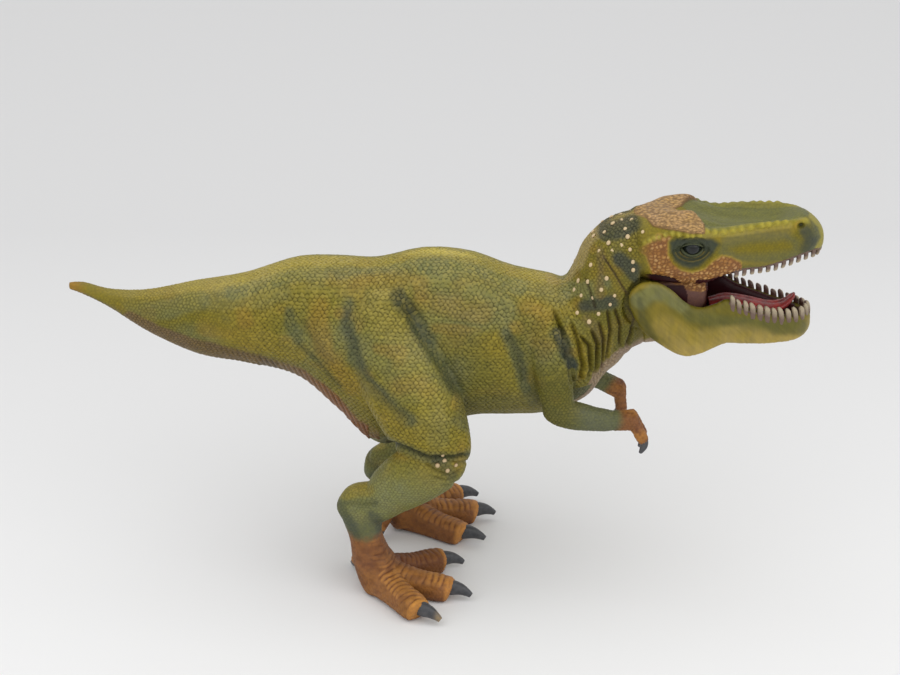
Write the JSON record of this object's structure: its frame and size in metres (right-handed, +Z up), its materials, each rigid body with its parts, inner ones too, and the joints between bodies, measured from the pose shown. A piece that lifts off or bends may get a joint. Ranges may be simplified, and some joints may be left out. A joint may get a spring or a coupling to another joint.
{
  "type": "toy dinosaur figure",
  "caption": "Standing theropod toy figure on two clawed feet, with small arms, a long tail and a hinged lower jaw that opens and closes.",
  "frame": {"origin": "on the floor, under the middle of the figure's bounding box", "axes": "+X towards the head, +Y to the figure's left side, +Z up"},
  "size_m": [0.2738, 0.0942, 0.1453],
  "materials": {
    "body_skin": "matte painted vinyl, olive scales",
    "head_skin": "matte painted vinyl, olive with rusty cheeks",
    "jaw_skin": "satin painted vinyl, yellow-green",
    "mouth": "satin maroon",
    "tongue": "satin red",
    "teeth": "satin ivory with a brown stain",
    "claws": "satin dark slate",
    "eyes": "glossy black",
    "pin": "plain steel"
  },
  "bodies": {
    "figure": {"trunk": "body_skin", "skull": "head_skin", "mouth_lining": "mouth", "upper_teeth": "teeth", "right_eye": "eyes", "left_eye": "eyes", "jaw_pin": "pin", "right_leg": "body_skin", "left_leg": "body_skin", "right_arm": "body_skin", "left_arm": "body_skin", "right_outer_toe_claw": "claws", "right_middle_toe_claw": "claws", "right_inner_toe_claw": "claws", "right_rear_toe_claw": "claws", "left_outer_toe_claw": "claws", "left_middle_toe_claw": "claws", "left_inner_toe_claw": "claws", "left_rear_toe_claw": "claws", "right_outer_finger_claw": "claws", "right_inner_finger_claw": "claws", "left_outer_finger_claw": "claws", "left_inner_finger_claw": "claws"},
    "lower_jaw": {"lower_jaw": "jaw_skin", "lower_teeth": "teeth", "tongue": "tongue"}
  },
  "joints": [
    {"name": "jaw_hinge", "type": "hinge", "parent": "figure", "child": "lower_jaw", "pos_m": [0.07583, 0.00615, 0.1113], "axis": [0, 1, 0], "range_deg": [-10, 0]}
  ]
}
